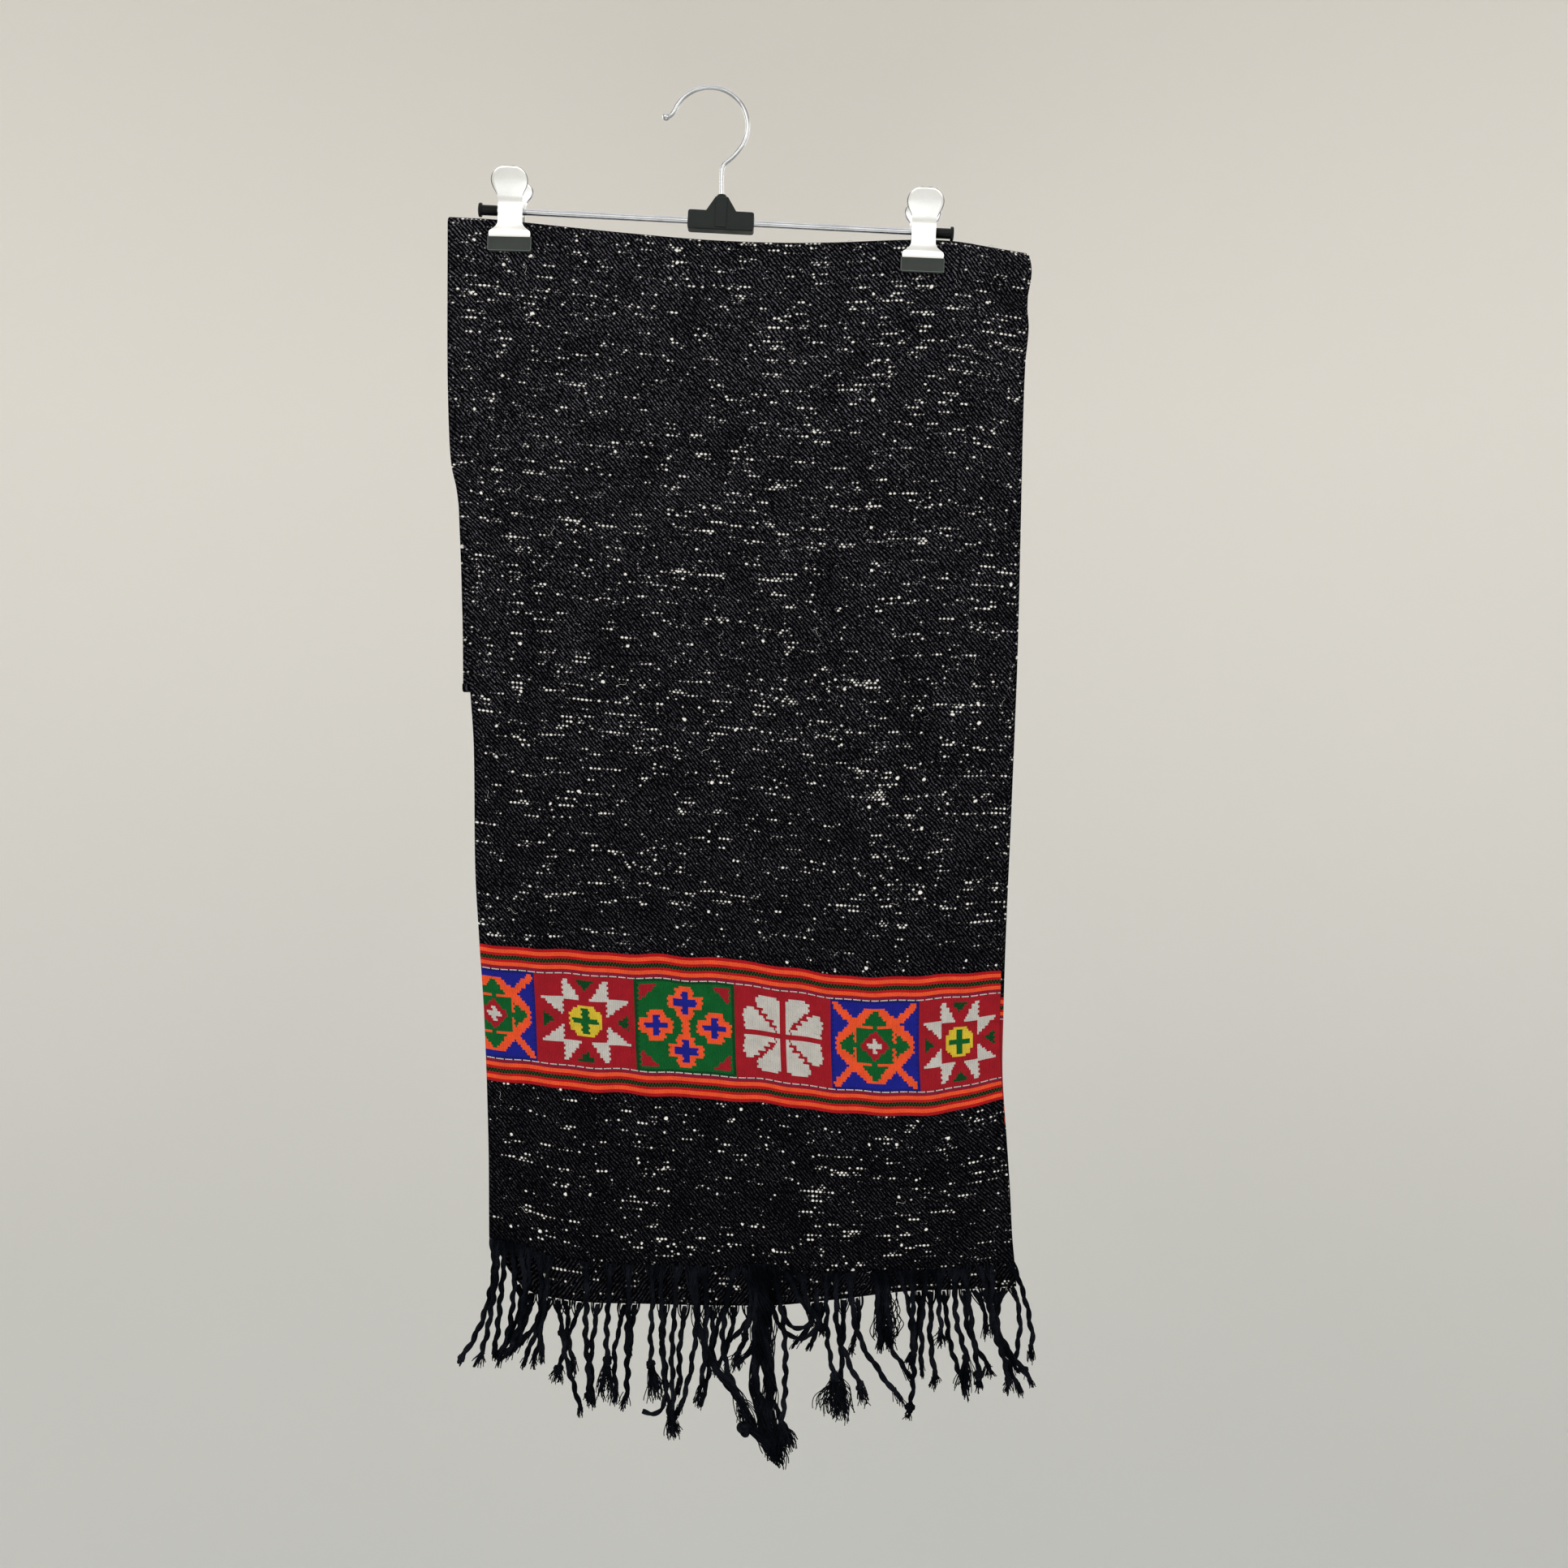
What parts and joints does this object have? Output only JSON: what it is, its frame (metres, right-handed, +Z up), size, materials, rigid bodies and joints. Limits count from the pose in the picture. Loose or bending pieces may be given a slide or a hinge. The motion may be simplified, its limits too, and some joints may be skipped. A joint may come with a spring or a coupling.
{
  "type": "wool stole on a clip hanger",
  "caption": "Black flecked wool twill stole with a woven motif border and twisted fringe, folded lengthwise and hung from a clip hanger.",
  "frame": {"origin": "inside top of the hanger's hook, where it rests on a nail or rail", "axes": "+Z up, -Y out of the cloth's front, +X to the viewer's right, along the rod before it tilts"},
  "size_m": [0.4008, 0.037, 0.9436],
  "materials": {
    "wool_twill": "matte black wool twill with white slub flecks",
    "woven_border": "weft-faced wool border in red, orange, green, blue and white",
    "fringe_yarn": "matte twisted wool yarn",
    "chromed_wire": "bright chromed wire",
    "clip_steel": "bright plated sheet steel",
    "spring_steel": "plain drawn wire",
    "black_plastic": "black moulded plastic, low gloss",
    "grip_pad": "soft dark grey moulded pad"
  },
  "bodies": {
    "root": {"front_drop": "wool_twill", "border_band": "woven_border", "end_cloth": "wool_twill", "back_run": "wool_twill", "inner_folds": "wool_twill", "front_fringe": "fringe_yarn", "under_fringe": "fringe_yarn", "hanger_rod": "chromed_wire", "hanger_hook": "chromed_wire", "hanger_block": "black_plastic", "left_end_cap": "black_plastic", "right_end_cap": "black_plastic", "left_clip_front_lever": "clip_steel", "left_clip_back_lever": "clip_steel", "left_clip_spring": "spring_steel", "left_clip_front_pad": "grip_pad", "left_clip_back_pad": "grip_pad", "right_clip_front_lever": "clip_steel", "right_clip_back_lever": "clip_steel", "right_clip_spring": "spring_steel", "right_clip_front_pad": "grip_pad", "right_clip_back_pad": "grip_pad"}
  },
  "joints": []
}
